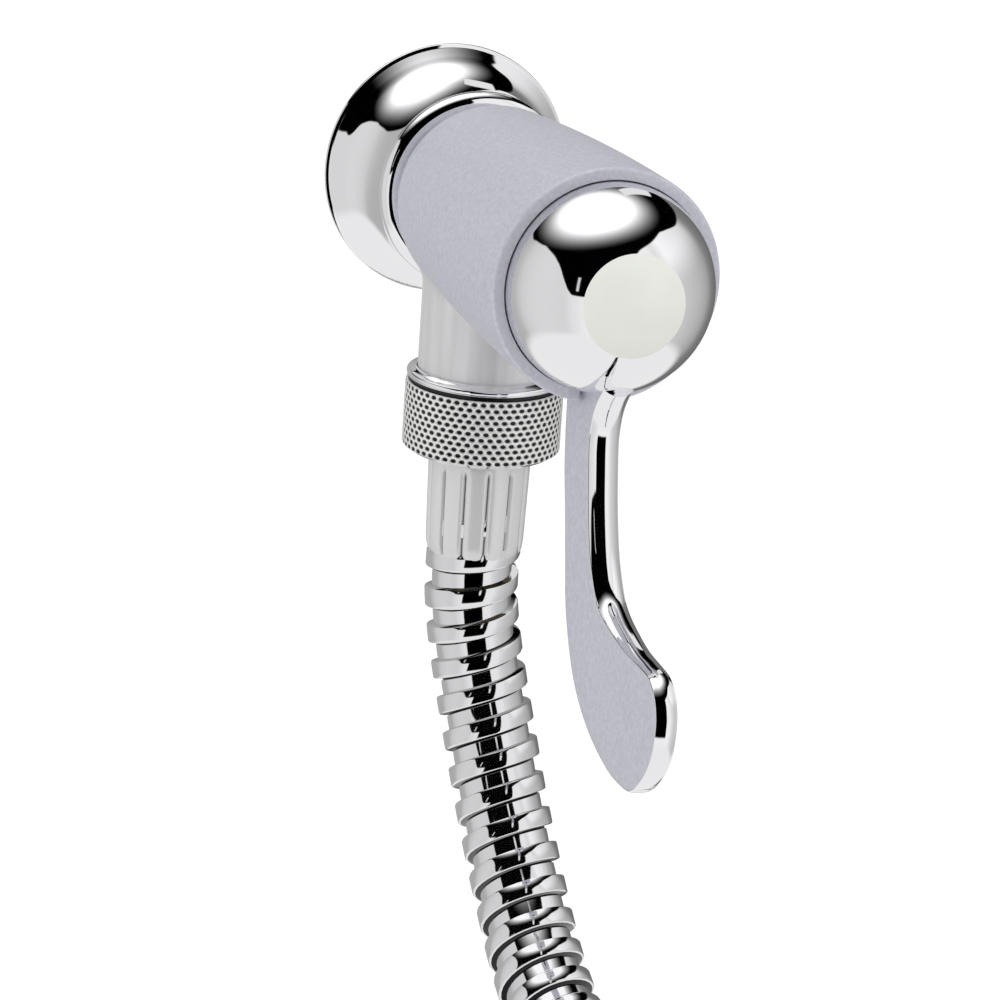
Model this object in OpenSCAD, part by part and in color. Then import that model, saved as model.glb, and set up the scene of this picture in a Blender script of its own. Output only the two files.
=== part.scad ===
// Handheld bath sprayer: a brass head on a flexible metal hose, opened by a sprung lever.
// Millimetres. Z is up along the neck, Y runs along the barrel with the spray at +Y.
// The origin is where the neck axis crosses the barrel axis.

/* [Body casting] */
// Radius of the round node where neck and barrel meet
node_r = 15; // [14:0.5:17]
// Distance from the neck axis back to the mouth of the barrel
barrel_len = 48.7; // [44:0.5:60]
// Outer radius of the barrel at its mouth
mouth_r = 17; // [16.6:0.1:19]
// Rounding of the barrel's rim
rim_round = 1.2; // [0.6:0.1:1.3]
// Radius of the water chamber in the node
chamber_r = 9.6; // [9:0.1:10]
// Outer radius of the threaded neck, G1/2
neck_r = 10.45; // [10:0.05:11]
// Length of the neck below the barrel axis
neck_len = 32.9; // [31:0.1:40]
// Radius of the waterway in the neck
neck_bore_r = 7; // [6:0.1:7.6]

/* [Spray bell] */
// Outer radius of the bell's rim
bell_r = 19.8; // [19:0.1:26]
// Distance from the neck axis forward to the bell's rim
bell_reach = 25.5; // [24.5:0.1:34]
// Radius of the bead round the root of the bell
bead_r = 15.3; // [14.6:0.1:17]
// Wall of the bell
bell_wall = 1.5; // [1.2:0.1:2]
// Thickness of the spray plate
plate_t = 1.4; // [1:0.1:2]
// Radius of a spray hole
hole_r = 0.6; // [0.4:0.05:0.8]
// Rings of spray holes
hole_rings = 4; // [2:1:4]

/* [Valve] */
// Radius of the spindle
spindle_r = 2.5; // [2:0.1:2.8]
// Radius of the rubber valve disc
disc_r = 7; // [6.4:0.1:7.6]
// Thickness of the rubber valve disc
disc_t = 3; // [2:0.1:3.5]
// Radius of the opening in the valve seat
seat_r = 4.8; // [4.4:0.1:5.2]
// Mean radius of the return spring
spring_r = 5.2; // [4.6:0.1:6]
// Wire radius of the return spring
wire_r = 0.55; // [0.4:0.05:0.8]
// Turns of the return spring
spring_turns = 6; // [4:1:7]
// Height of the fork's push point above the pivot
fork_arm = 8; // [7.2:0.1:8.4]

/* [Lever] */
// Radius of the domed hub
dome_r = 15.1; // [14.6:0.1:15.1]
// Wall of the domed hub
dome_wall = 2.4; // [1.8:0.1:2.6]
// Thickness of the lever blade across the object
blade_t = 4.6; // [3.6:0.1:5.4]
// Share of that thickness which is left at the tip of the paddle
tip_share = 0.7; // [0.5:0.05:1]
// Depth of the paddle's lowest point below the pivot
lever_drop = 65.6; // [64:0.5:74]
// Distance from the pivot back to the tip of the paddle
lever_reach = 34.6; // [34:0.2:42]
// Radius of the trunnion screws
trunnion_r = 2; // [1.6:0.1:2.4]
// Swing of the lever from rest to full flow, in degrees
swing = 14; // [8:1:14]

/* [Hose nut and ferrule] */
// Outer radius of the knurled nut
nut_r = 12.25; // [12:0.05:14]
// Height of the knurled nut
nut_h = 13; // [12:0.1:18]
// Thread engagement of the nut on the neck
engage = 7.5; // [6:0.1:9]
// Top radius of the fluted ferrule
ferrule_r = 7.9; // [7.8:0.05:9]
// Length of the fluted ferrule
ferrule_len = 16.3; // [14:0.1:22]
// Flutes round the ferrule
flutes = 13; // [8:1:18]
// Thickness of the sealing washers
washer_t = 2; // [1.5:0.1:2.5]

/* [Hose] */
// Outer radius of the hose over its ribs
hose_r = 7.3; // [7.1:0.05:7.5]
// Depth of the grooves between the ribs
rib_depth = 0.9; // [0.5:0.05:1.1]
// Distance from rib to rib
rib_pitch = 5.7; // [5:0.1:8]
// Radius of the hose's bore
hose_bore_r = 4.9; // [4.4:0.1:5.2]
// Radius at which the coil begins, on its inner side
coil_r = 64; // [62:1:72]
// Distance from one turn of the coil to the next
coil_step = 17; // [16.8:0.1:19]
// Turns of the coil
coil_turns = 2; // [1.9:0.05:2.1]
// Straight length from the coil to the supply end
coil_tail = 55; // [50:1:70]

/* [Hidden] */
$fn = 64;
// Clearances: a running fit, a gap between parts that pass each other, a cutter's overshoot
fit = 0.05;
gap = 0.3;
over = 1;
// Barrel profile: its radius grows from the node to the mouth along a shallow curve
barrel_steps = 14;
barrel_flare = mouth_r - node_r;
// Places along the barrel axis, from the bell back to the mouth
shoulder_y = 8.5;
chamber_y = 10;
nipple_y = 15;
nipple_r = 10.5;
seat_body_r = 6.5;
seat_y = shoulder_y;
seat_flange_r = 8.2;
gland_y = -19;
gland_len = 8;
gland_r = 11.4;
seal_y = [gland_y - 2.2, gland_y - 5.6];
bracket_y = gland_y - gland_len;
bracket_len = 7;
bracket_r = 13.4;
hub_y = -barrel_len;
mouth_bore_r = dome_r + gap;
mouth_depth = 10.5;
// The hub passes the middle of its sphere by this much, inside the barrel
hub_skirt = 5.6;
// Spindle train
holder_t = 2.5;
holder_r = disc_r + 0.2;
disc_back_y = seat_y - disc_t;
holder_y = disc_back_y - holder_t;
disc_nut_r = 3.8;
disc_nut_t = 2.2;
fork_back_y = hub_y + 2.7;
fork_t = 2.6;
button_t = 3;
button_r = fork_arm - 0.3;
button_half = 6;
button_y = fork_back_y - 0.15 - button_t;
// Hub insides: ears of the bracket, lugs of the hub
ear_in = 7.8;
ear_t = 2.2;
ear_half = 3;
ear_end_r = 4;
lug_in = ear_in + ear_t + 0.2;
lug_out = 12.6;
lug_r = 3.8;
// Hose nut, washer, tail and ferrule, downward from the neck's end
nut_top_z = -neck_len + engage;
nut_bottom_z = nut_top_z - nut_h;
nut_floor = 1.5;
washer_z = -neck_len - washer_t;
tail_flange_r = 9.3;
tail_flange_bottom = nut_bottom_z + nut_floor + fit;
tail_neck_r = 6.9;
ferrule_top_z = nut_bottom_z - gap;
ferrule_bottom_z = ferrule_top_z - ferrule_len;
ferrule_bottom_r = ferrule_r - 0.4;
socket_len = 9;
hose_core_r = hose_r - rib_depth;
barb_r = hose_bore_r * cos(22.5) - 0.1;
tail_bore_r = 3.2;
// Hose route from the socket in the ferrule down to the surface, chosen by hand
hose_sides = 8;
route_run = [
    [0, 0, -46], [0, 0, -54], [0, 0, -61], [0.8, -0.3, -68], [2, -1.8, -76],
    [3.1, -4.6, -84], [4, -8.2, -92], [4.8, -13, -99.9], [5.4, -19.2, -107.5],
    [5.75, -26.4, -114.1], [6.3, -34.2, -119.2], [7.1, -42.6, -122.9], [8.1, -51.4, -125],
    [9.3, -60.5, -125.7], [11, -72.5, -125.7], [12.4, -84.5, -125.7], [13.2, -97, -125.7]
];
// The run lies across the turns of the coil, then comes down beside them to become the first
coil_start = route_run[len(route_run) - 1];
coil_straight = 30;
coil_lift = 2 * hose_r + 0.8;
ramp_len = 95;
coil_rings = 24;
coil_sides = 6;
coil_centre = coil_start + [coil_r, -coil_straight, -coil_lift];
coil_sweep = 360 * coil_turns;
strap_t = 1.6;

// ---------- helpers ----------

module along_y() { rotate([-90, 0, 0]) children(); }
module along_x() { rotate([0, 90, 0]) children(); }
module rod_y(r, y0, y1) { translate([0, y0, 0]) along_y() cylinder(r = r, h = y1 - y0); }
module tube_y(r, bore, y0, y1) {
    difference() {
        rod_y(r, y0, y1);
        rod_y(bore, y0 - over, y1 + over);
    }
}
module tube_z(r, bore, z0, z1) {
    translate([0, 0, z0]) difference() {
        cylinder(r = r, h = z1 - z0);
        translate([0, 0, -over]) cylinder(r = bore, h = z1 - z0 + 2 * over);
    }
}
function arc(cx, cy, r, a0, a1, n) =
    [for (i = [0:n]) [cx + r * cos(a0 + (a1 - a0) * i / n), cy + r * sin(a0 + (a1 - a0) * i / n)]];
function unit(v) = v / norm(v);
function mix(a, b, t) = a + (b - a) * t;
// Point of a smooth curve through a list of points, t from 0 to the last index
function spline(p, t) =
    let (n = len(p) - 1, i = min(floor(t), n - 1), u = t - i,
         a = p[max(i - 1, 0)], b = p[i], c = p[i + 1], d = p[min(i + 2, n)])
    0.5 * (2 * b + (c - a) * u + (2 * a - 5 * b + 4 * c - d) * u * u
           + (3 * b - a - 3 * c + d) * u * u * u);
// Ring of points round a centre, square to the direction dir
function ring(centre, dir, ref, r, sides) =
    let (s = unit(ref - (ref * dir) * dir), w = cross(dir, s))
    [for (k = [0:sides - 1])
        let (a = 360 * (k + 0.5) / sides) centre + r * (cos(a) * s + sin(a) * w)];
function dir_at(p, i) =
    unit(p[min(i + 1, len(p) - 1)] - p[max(i - 1, 0)]);
// Triangles that join ring i to ring i + 1 in a list of rings
function skin(rings, sides, at = 0, flip = false) =
    [for (i = [0:rings - 2]) for (k = [0:sides - 1])
        let (a = at + i * sides + k, b = at + i * sides + (k + 1) % sides, c = a + sides,
             d = b + sides)
        each flip ? [[a, c, b], [b, c, d]] : [[a, b, c], [b, d, c]]];
// A closed tube along points p, with a radius for each point
module solid_tube(p, radii, ref, sides) {
    n = len(p);
    pts = [for (i = [0:n - 1]) each ring(p[i], dir_at(p, i), ref, radii[i], sides)];
    polyhedron(concat(pts, [p[0], p[n - 1]]), concat(
        skin(n, sides),
        [for (k = [0:sides - 1]) [n * sides, (k + 1) % sides, k]],
        [for (k = [0:sides - 1])
            [n * sides + 1, (n - 1) * sides + k, (n - 1) * sides + (k + 1) % sides]]
    ));
}
// An open tube along points p: outer radii, and one bore radius
module bored_tube(p, radii, bore, ref, sides) {
    n = len(p);
    m = n * sides;
    last = (n - 1) * sides;
    outer = [for (i = [0:n - 1]) each ring(p[i], dir_at(p, i), ref, radii[i], sides)];
    inner = [for (i = [0:n - 1]) each ring(p[i], dir_at(p, i), ref, bore, sides)];
    polyhedron(concat(outer, inner), concat(
        skin(n, sides),
        skin(n, sides, m, true),
        [for (k = [0:sides - 1]) let (j = (k + 1) % sides)
            each [[k, m + k, j], [j, m + k, m + j]]],
        [for (k = [0:sides - 1]) let (j = (k + 1) % sides)
            each [[last + k, last + j, m + last + k], [last + j, m + last + j, m + last + k]]]
    ));
}

// ---------- body ----------

function barrel_radius(y) = mouth_r - barrel_flare * pow(1 + y / (barrel_len - 2.7), 2);

module body_casting() {
    shoulder_r = sqrt(node_r * node_r - shoulder_y * shoulder_y);
    outline = concat(
        [[0, nipple_y], [nipple_r - 0.6, nipple_y], [nipple_r, nipple_y - 0.6],
         [nipple_r, shoulder_y], [shoulder_r, shoulder_y]],
        arc(0, 0, node_r, asin(shoulder_y / node_r) * 0.85, 0, 7),
        [for (i = [1:barrel_steps])
            let (y = -(barrel_len - 2.7) * i / barrel_steps) [barrel_radius(y), y]],
        arc(mouth_r - rim_round, hub_y + rim_round, rim_round, 0, -90, 6),
        [[0, hub_y]]
    );
    cavity = [
        [0, hub_y - over], [mouth_bore_r, hub_y - over], [mouth_bore_r, hub_y + mouth_depth],
        [bracket_r, hub_y + mouth_depth], [bracket_r, bracket_y], [gland_r, bracket_y],
        [gland_r, gland_y], [chamber_r, gland_y], [chamber_r, chamber_y],
        [seat_body_r, chamber_y], [seat_body_r, nipple_y + over], [0, nipple_y + over]
    ];
    neck = [
        [0, -neck_len], [neck_r - 0.6, -neck_len], [neck_r, -neck_len + 0.6], [neck_r, -14],
        [neck_r + 0.5, -11.6], [neck_r + 1.9, -8.8], [0, -5]
    ];
    color("lightgray") difference() {
        union() {
            along_y() rotate_extrude() polygon(outline);
            rotate_extrude() polygon(neck);
        }
        along_y() rotate_extrude() polygon(cavity);
        translate([0, 0, -neck_len - over]) cylinder(r = neck_bore_r, h = neck_len + over);
        lever_notch();
        bracket_screw_hole();
        // seat for the root of the bell, where the neck reaches past the shoulder
        tube_y(bead_r + gap, nipple_r, shoulder_y, nipple_y + over);
    }
}

// The notch in the underside of the mouth, in which the lever's blade swings
module lever_notch() {
    half = blade_t / 2 + 0.7;
    end_y = hub_y + 10;
    translate([0, 0, -mouth_r - over]) linear_extrude(8)
        polygon(concat([[half, hub_y - over]], arc(0, end_y, half, 0, 180, 10), [[-half, hub_y - over]]));
}

module bracket_screw_hole() {
    translate([0, bracket_y - bracket_len / 2, -mouth_r - over])
        cylinder(r = 2, h = mouth_r - bracket_r + 4);
}

module bracket_screw() {
    color("dimgray") translate([0, bracket_y - bracket_len / 2, -mouth_r + 0.8])
        difference() {
            cylinder(r = 2, h = mouth_r - 0.8 - bracket_r + 2);
            translate([0, 0, -over]) cylinder(r = 1, h = 1.5 + over, $fn = 6);
        }
}

module pivot_bracket() {
    color("darkkhaki") difference() {
        union() {
            rod_y(bracket_r, bracket_y - bracket_len, bracket_y);
            for (s = [-1, 1]) {
                translate([s > 0 ? ear_in : -ear_in - ear_t, hub_y, -ear_half])
                    cube([ear_t, bracket_y - hub_y - 1, 2 * ear_half]);
                translate([s > 0 ? ear_in : -ear_in - ear_t, hub_y, 0])
                    along_x() cylinder(r = ear_end_r, h = ear_t);
            }
        }
        rod_y(spindle_r + 1.5, bracket_y - bracket_len - over, bracket_y + over);
        translate([-lug_out, hub_y, 0]) along_x() cylinder(r = trunnion_r, h = 2 * lug_out);
        translate([0, bracket_y - bracket_len / 2, -mouth_r])
            cylinder(r = 2, h = mouth_r - bracket_r + 2.8);
    }
}

module trunnion_screws() {
    color("silver") for (s = [-1, 1])
        translate([s > 0 ? ear_in - 0.6 : -lug_out + 0.5, hub_y, 0]) along_x()
            cylinder(r = trunnion_r, h = lug_out - 0.5 - ear_in + 0.6);
}

module gland_bush() {
    color("gold") difference() {
        rod_y(gland_r, gland_y - gland_len, gland_y);
        rod_y(spindle_r + fit, gland_y - gland_len - over, gland_y + over);
        // groove for the outer seal, open to the chamber wall
        tube_y(gland_r + over, gland_r - 1.6, gland_y - 5, gland_y - 3);
        // grooves for the two spindle seals
        for (y = seal_y) rod_y(spindle_r + 1.7, y - 1.8, y);
    }
}

module gland_seal() {
    color("black") tube_y(gland_r, gland_r - 1.6, gland_y - 5, gland_y - 3);
}

module spindle_seals() {
    color("black") for (y = seal_y)
        tube_y(spindle_r + 1.7, spindle_r + fit, y - 1.8, y);
}

// ---------- valve ----------

module valve_seat() {
    color("gold") difference() {
        union() {
            rod_y(seat_flange_r, seat_y + 0.2, chamber_y);
            rod_y(seat_body_r, chamber_y - 0.2, nipple_y);
            // raised lip that the rubber closes on
            rod_y(seat_r + 0.8, seat_y, seat_y + 0.5);
        }
        rod_y(seat_r, seat_y - over, nipple_y + over);
    }
}

module valve_disc() {
    color("black") tube_y(disc_r, spindle_r, disc_back_y, seat_y);
}

module disc_holder() {
    color("gold") tube_y(holder_r, spindle_r, holder_y, disc_back_y);
}

module disc_nut() {
    color("gold") difference() {
        translate([0, seat_y, 0]) along_y() cylinder(r = disc_nut_r, h = disc_nut_t, $fn = 6);
        rod_y(spindle_r, seat_y - over, seat_y + disc_nut_t + over);
    }
}

module spindle() {
    color("silver") rod_y(spindle_r, button_y - 0.8, seat_y + disc_nut_t + 0.8);
}

module spindle_button() {
    color("gold") difference() {
        intersection() {
            rod_y(button_r, button_y, button_y + button_t);
            translate([-button_half, button_y - over, -button_r - over])
                cube([2 * button_half, button_t + 2 * over, 2 * (button_r + over)]);
        }
        rod_y(spindle_r, button_y - over, button_y + button_t + over);
    }
}

// Place of the spring's wire along Y: its end coils lie close, the rest rises evenly
function spring_y(i, steps, y0, y1, t) =
    mix(y0 + wire_r * min(i, 9) / 4.5, y1 - wire_r * (steps - max(i, steps - 9)) / 4.5, t);

// The spring stands between the gland and the disc holder
module return_spring() {
    y0 = gland_y + wire_r + 0.1;
    y1 = holder_y - wire_r - 0.1;
    steps = 12 * spring_turns;
    p = [for (i = [0:steps])
        let (a = 30 * i, t = max(0, min(1, (i - 9) / (steps - 18))))
        [spring_r * cos(a), spring_y(i, steps, y0, y1, t), spring_r * sin(a)]];
    color("silver") solid_tube(p, [for (q = p) wire_r], [0, 1, 0], 6);
}

// ---------- spray bell ----------

module spray_bell() {
    root_y = shoulder_y;
    flare_y = root_y + 4.4;
    steps = 12;
    flare = [for (i = [0:steps]) let (t = i / steps)
        [mix(bead_r - 1.1, bell_r - 0.3, 0.35 * t + 0.65 * t * t), mix(flare_y, bell_reach - 1.2, t)]];
    color("silver") difference() {
        along_y() rotate_extrude() polygon(concat(
            [[0, root_y], [bead_r - 2, root_y]],
            arc(bead_r - 2, root_y + 2, 2, -90, 60, 8),
            flare,
            arc(bell_r - 0.6, bell_reach - 0.6, 0.6, 0, 90, 4),
            [[0, bell_reach]]
        ));
        rod_y(nipple_r + fit, root_y - over, nipple_y + 0.5);
        rod_y(seat_flange_r + 2, nipple_y, bell_reach + over);
        along_y() rotate_extrude() polygon(concat(
            [[0, nipple_y + 0.5], [nipple_r, nipple_y + 0.5]],
            [for (i = [3:steps]) if (flare[i][1] < plate_y() - 0.6) flare[i] - [bell_wall + 0.5, 0]],
            [[plate_r() - 1.2, plate_y()], [plate_r(), plate_y()],
             [plate_r(), bell_reach + over], [0, bell_reach + over]]
        ));
        // counterbore for the gasket
        rod_y(gasket_r(), root_y - over, root_y + gasket_t());
    }
}

function gasket_r() = nipple_r + 1.5;
function gasket_t() = 1.2;
function plate_r() = bell_r - bell_wall - 0.6;
function plate_y() = bell_reach - 0.8 - plate_t;

module bell_gasket() {
    color("black") tube_y(gasket_r() - fit, nipple_r + fit, shoulder_y, shoulder_y + gasket_t());
}

module diffuser() {
    web_y = nipple_y + 0.7;
    post_r = 3;
    color("gold") difference() {
        union() {
            rod_y(nipple_r - 0.3, web_y, web_y + 1.6);
            rod_y(post_r, web_y, plate_y());
        }
        for (a = [0:45:315]) rotate([0, a, 0]) translate([6.4, 0, 0])
            rod_y(1.5, web_y - over, web_y + 1.6 + over);
        rod_y(1.25, web_y + 1, plate_y() + over);
    }
}

module plate_screw() {
    color("silver") difference() {
        union() {
            rod_y(1.25, plate_y() - 4, plate_y() + plate_t + 0.2);
            rod_y(2.6, plate_y() + plate_t, plate_y() + plate_t + 1.1);
        }
        translate([-3, plate_y() + plate_t + 0.5, -0.35]) cube([6, 2, 0.7]);
    }
}

module spray_plate() {
    spacing = (plate_r() - 3.2) / hole_rings;
    color("gainsboro") difference() {
        rod_y(plate_r() - fit, plate_y(), plate_y() + plate_t);
        rod_y(1.25, plate_y() - over, plate_y() + plate_t + over);
        for (i = [1:hole_rings]) for (k = [0:6 * i - 1])
            rotate([0, 60 * k / i + 15 * i, 0]) translate([1.2 + i * spacing, 0, 0])
                rod_y(hole_r, plate_y() - over, plate_y() + plate_t + over);
    }
}

// ---------- lever ----------

// Front and back edge of the blade from the hub to the tip, as [y, z] in shares of the lever's
// reach and drop
front_shares = [
    [0.046, 0.152], [0.066, 0.29], [0.101, 0.381], [0.136, 0.468], [0.185, 0.553], [0.237, 0.605],
    [0.303, 0.651], [0.376, 0.674], [0.483, 0.691], [0.633, 0.706], [0.777, 0.71], [0.89, 0.716],
    [0.962, 0.753], [0.997, 0.814], [0.997, 0.88], [0.962, 0.936], [0.887, 0.985]
];
back_shares = [
    [-0.199, 0.152], [-0.199, 0.305], [-0.176, 0.422], [-0.136, 0.512], [-0.107, 0.579],
    [-0.072, 0.665], [-0.043, 0.724], [0.003, 0.78], [0.064, 0.835], [0.142, 0.884], [0.251, 0.928],
    [0.387, 0.966], [0.558, 0.995], [0.694, 1], [0.824, 0.989]
];
function blade_edge(shares) = [for (i = [0:3 * (len(shares) - 1)])
    let (q = spline(shares, i / 3)) [hub_y - lever_reach * q[0], -lever_drop * q[1]]];

module blade() {
    front = blade_edge(front_shares);
    back = blade_edge(back_shares);
    difference() {
        // the outline lies in the YZ plane and is extruded across the object
        translate([-blade_t / 2, 0, 0]) rotate([90, 0, 90]) linear_extrude(blade_t)
            polygon(concat(front, [for (i = [len(back) - 1:-1:0]) back[i]]));
        // the paddle narrows towards its tip
        for (s = [-1, 1]) translate([0, 0, -lever_drop - over]) linear_extrude(0.55 * lever_drop)
            polygon([for (q = [[1.04, 0.12], [1, 0.21], [mix(1, tip_share, 0.5), 0.5],
                               [mix(1, tip_share, 0.93), 0.79], [tip_share, 1.1], [2, 1.1], [2, 0.12]])
                [s * q[0] * blade_t / 2, hub_y - lever_reach * q[1]]]);
    }
}

module dome_lever() {
    outer = arc(0, 0, dome_r, -90, asin(hub_skirt / dome_r), 20);
    inner = arc(0, 0, dome_r - dome_wall, -90, asin((hub_skirt + over) / (dome_r - dome_wall)), 18);
    color("silver") difference() {
        union() {
            difference() {
                union() {
                    translate([0, hub_y, 0]) along_y() rotate_extrude()
                        polygon(concat(outer, [[0, hub_skirt]]));
                    blade();
                }
                translate([0, hub_y, 0]) along_y() rotate_extrude()
                    polygon(concat(inner, [[0, hub_skirt + over]]));
            }
            lever_lugs();
            lever_fork();
        }
        translate([-lug_out, hub_y, 0]) along_x() cylinder(r = trunnion_r + fit, h = 2 * lug_out);
    }
}

// Lugs inside the hub that turn on the trunnion screws
module lever_lugs() {
    long = dome_r - dome_wall / 2 - lug_in;
    for (s = [-1, 1]) translate([s > 0 ? lug_in : -lug_in - long, hub_y, 0])
        along_x() cylinder(r = lug_r, h = long);
}

// Fork inside the hub that pulls the spindle's button
module lever_fork() {
    slot = spindle_r + 0.4;
    difference() {
        translate([-5.4, fork_back_y, 1]) cube([10.8, fork_t, dome_r - dome_wall - 1.3]);
        translate([-slot, fork_back_y - over, 0]) cube([2 * slot, fork_t + 2 * over, slot + 1.2]);
    }
}

// ---------- hose connection ----------

module union_nut() {
    // origin at the centre of the nut's open mouth, with the floor at -nut_h
    rotate([180, 0, 0]) difference() {
        rotate_extrude() polygon([
            [0, 0], [nut_r - 1.1, 0], [nut_r - 0.2, 0.7], [nut_r - 0.2, 1.3], [nut_r - 0.6, 1.7],
            [nut_r, 2.1], [nut_r, nut_h - 0.8], [nut_r - 0.8, nut_h], [0, nut_h]
        ]);
        translate([0, 0, -over]) cylinder(r = neck_r + 2 * fit, h = nut_h - nut_floor);
        // relief below the thread, for the washer and the flange
        translate([0, 0, engage]) cylinder(r = neck_r + 0.5, h = nut_h - nut_floor - engage);
        translate([0, 0, -over]) cylinder(r = tail_neck_r + fit, h = nut_h + 2 * over);
    }
}

module hose_nut() {
    color("silver") translate([0, 0, nut_top_z]) union_nut();
}

module hose_washer() {
    color("black") tube_z(tail_flange_r, 6, washer_z, -neck_len);
}

module inlet_filter() {
    color("gray") difference() {
        translate([0, 0, washer_z + 0.5]) cylinder(r = 6, h = 0.8);
        for (x = [-3:1.5:3]) for (y = [-3:1.5:3])
            translate([x, y, washer_z]) cylinder(r = 0.45, h = 3);
    }
}

// Flanged tube that the nut pulls up; its barb sits in the hose
module tail() {
    difference() {
        rotate_extrude() polygon([
            [0, 0], [tail_flange_r, 0], [tail_flange_r, tail_flange_bottom - washer_z],
            [tail_neck_r, tail_flange_bottom - washer_z], [tail_neck_r, ferrule_top_z - washer_z],
            [barb_r, ferrule_top_z - washer_z], [barb_r, ferrule_bottom_z - washer_z - 2],
            [0, ferrule_bottom_z - washer_z - 2]
        ]);
        translate([0, 0, ferrule_bottom_z - washer_z - 2 - over])
            cylinder(r = tail_bore_r, h = washer_z - ferrule_bottom_z + 2 + 2 * over);
    }
}

module hose_tail() {
    color("gold") translate([0, 0, washer_z]) tail();
}

// Crimped sleeve with flutes; origin at its top
module ferrule() {
    socket_z = ferrule_len - socket_len;
    rotate([180, 0, 0]) difference() {
        rotate_extrude() polygon([
            [barb_r, 0], [ferrule_r - 0.5, 0], [ferrule_r, 0.5], [ferrule_bottom_r, ferrule_len - 0.9],
            [ferrule_bottom_r - 0.5, ferrule_len], [hose_core_r + fit, ferrule_len],
            [hose_core_r + fit, socket_z], [barb_r, socket_z]
        ]);
        for (k = [0:flutes - 1]) rotate([0, 0, 360 * (k + 0.5) / flutes])
            translate([ferrule_r + 0.1, 0, 1.6]) cylinder(r = 0.55, h = ferrule_len - 3.4);
    }
}

module hose_ferrule() {
    color("silver") translate([0, 0, ferrule_top_z]) ferrule();
}

// ---------- hose ----------

// Length along a list of points up to each of them
function lengths(p, i = 0, sum = 0, out = []) =
    i >= len(p) ? out
    : lengths(p, i + 1, sum + (i + 1 < len(p) ? norm(p[i + 1] - p[i]) : 0), concat(out, [sum]));
fine_run = [for (i = [0:4 * (len(route_run) - 1)]) spline(route_run, i / 4)];
fine_at = lengths(fine_run);
run_len = fine_at[len(fine_at) - 1];
function locate(s, i = 0) = i >= len(fine_at) - 2 || fine_at[i + 1] >= s ? i : locate(s, i + 1);
function at_length(s) =
    let (i = locate(s)) mix(fine_run[i], fine_run[i + 1], (s - fine_at[i]) / (fine_at[i + 1] - fine_at[i]));

module hose_stretch() {
    plain = socket_len + 1.2;
    ribs = floor((run_len - plain - 2) / rib_pitch);
    s = concat([0, plain], [for (i = [0:ribs - 1]) for (h = [0.5, 1]) plain + (i + h) * rib_pitch],
        [run_len]);
    p = [for (v = s) at_length(v)];
    radii = concat([hose_core_r, hose_core_r],
        [for (i = [0:ribs - 1]) each [hose_r, hose_core_r]], [hose_core_r]);
    color("silver") bored_tube(p, radii, hose_bore_r, [1, 0, 0], hose_sides);
}

// The spiral of the coil, which opens by one step a turn and lies flat once it is down
function ramp(s) = coil_lift * (0.5 + 0.5 * cos(180 * min(s / ramp_len, 1)));
function coil_point(a) =
    let (r = coil_r + coil_step * a / 360) coil_centre
        + [-r * cos(a), -r * sin(a), ramp(coil_straight + coil_r * a * PI / 180)];
coil_n = ceil(coil_turns * coil_rings);
coil_end = coil_point(coil_sweep);
coil_end_dir = [sin(coil_sweep), -cos(coil_sweep), 0];
// The tail rises, because the nut on it is thicker than the hose and lies on the same surface
coil_half = hose_r * cos(180 / coil_sides);
tail_rise = nut_r - coil_half - strap_t;
tail_rise_len = coil_tail - 15;
function tail_point(s) = coil_end + s * coil_end_dir
    + [0, 0, tail_rise * (0.5 - 0.5 * cos(180 * min(s / tail_rise_len, 1)))];
coil_path = concat(
    [for (s = [0, 0.5]) [coil_start[0], coil_start[1] - coil_straight * s,
        coil_centre[2] + ramp(coil_straight * s)]],
    [for (i = [0:coil_n]) coil_point(coil_sweep * i / coil_n)],
    [for (s = [0.25, 0.5, 0.75, 1]) tail_point(tail_rise_len * s)],
    [tail_point(coil_tail)]
);
coil_len = lengths(coil_path)[len(coil_path) - 1];
hose_end = coil_path[len(coil_path) - 1];

module hose_coil() {
    color("silver") solid_tube(coil_path, [for (q = coil_path) hose_r], [0, 0, 1], coil_sides);
}

// Least gap between two places of the coil's surface that aren't neighbours, measured on points
coil_last = len(coil_path) - 1;
coil_gap = min([for (i = [0:coil_last]) for (j = [i + 1:coil_last])
    if (j - i > 4) norm(coil_path[i] - coil_path[j]) - 2 * hose_r]);
echo(coil_least_gap = coil_gap, hose_end = hose_end);
echo(hose_length = run_len + coil_len);

// Strap round the turns of the coil, on the side away from the sprayer
module coil_tie() {
    at = 90;
    outer = coil_point(at + 360)[1] - hose_r;
    inner = coil_point(at)[1] + hose_r;
    half = coil_half;
    wide = 9;
    t = strap_t;
    color("dimgray") translate([coil_centre[0] - wide / 2, 0, coil_centre[2]]) difference() {
        translate([0, outer - t - fit, -half - t])
            cube([wide, inner - outer + 2 * (t + fit), 2 * (half + t)]);
        translate([-over, outer - fit, -half])
            cube([wide + 2 * over, inner - outer + 2 * fit, 2 * half]);
    }
}

// Places the parts of the supply end: their -Z runs back along the hose
module at_supply() {
    turn = atan2(coil_end_dir[1], coil_end_dir[0]);
    translate(hose_end) rotate([0, 0, turn]) rotate([0, 90, 0])
        translate([0, 0, -ferrule_bottom_z - socket_len]) children();
}

module supply_ferrule() { color("silver") at_supply() translate([0, 0, ferrule_top_z]) ferrule(); }
module supply_tail() { color("gold") at_supply() translate([0, 0, washer_z]) tail(); }
module supply_nut() { color("silver") at_supply() translate([0, 0, nut_top_z]) union_nut(); }
module supply_washer() {
    color("black") at_supply() tube_z(tail_flange_r, 6, washer_z, washer_z + washer_t);
}

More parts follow.
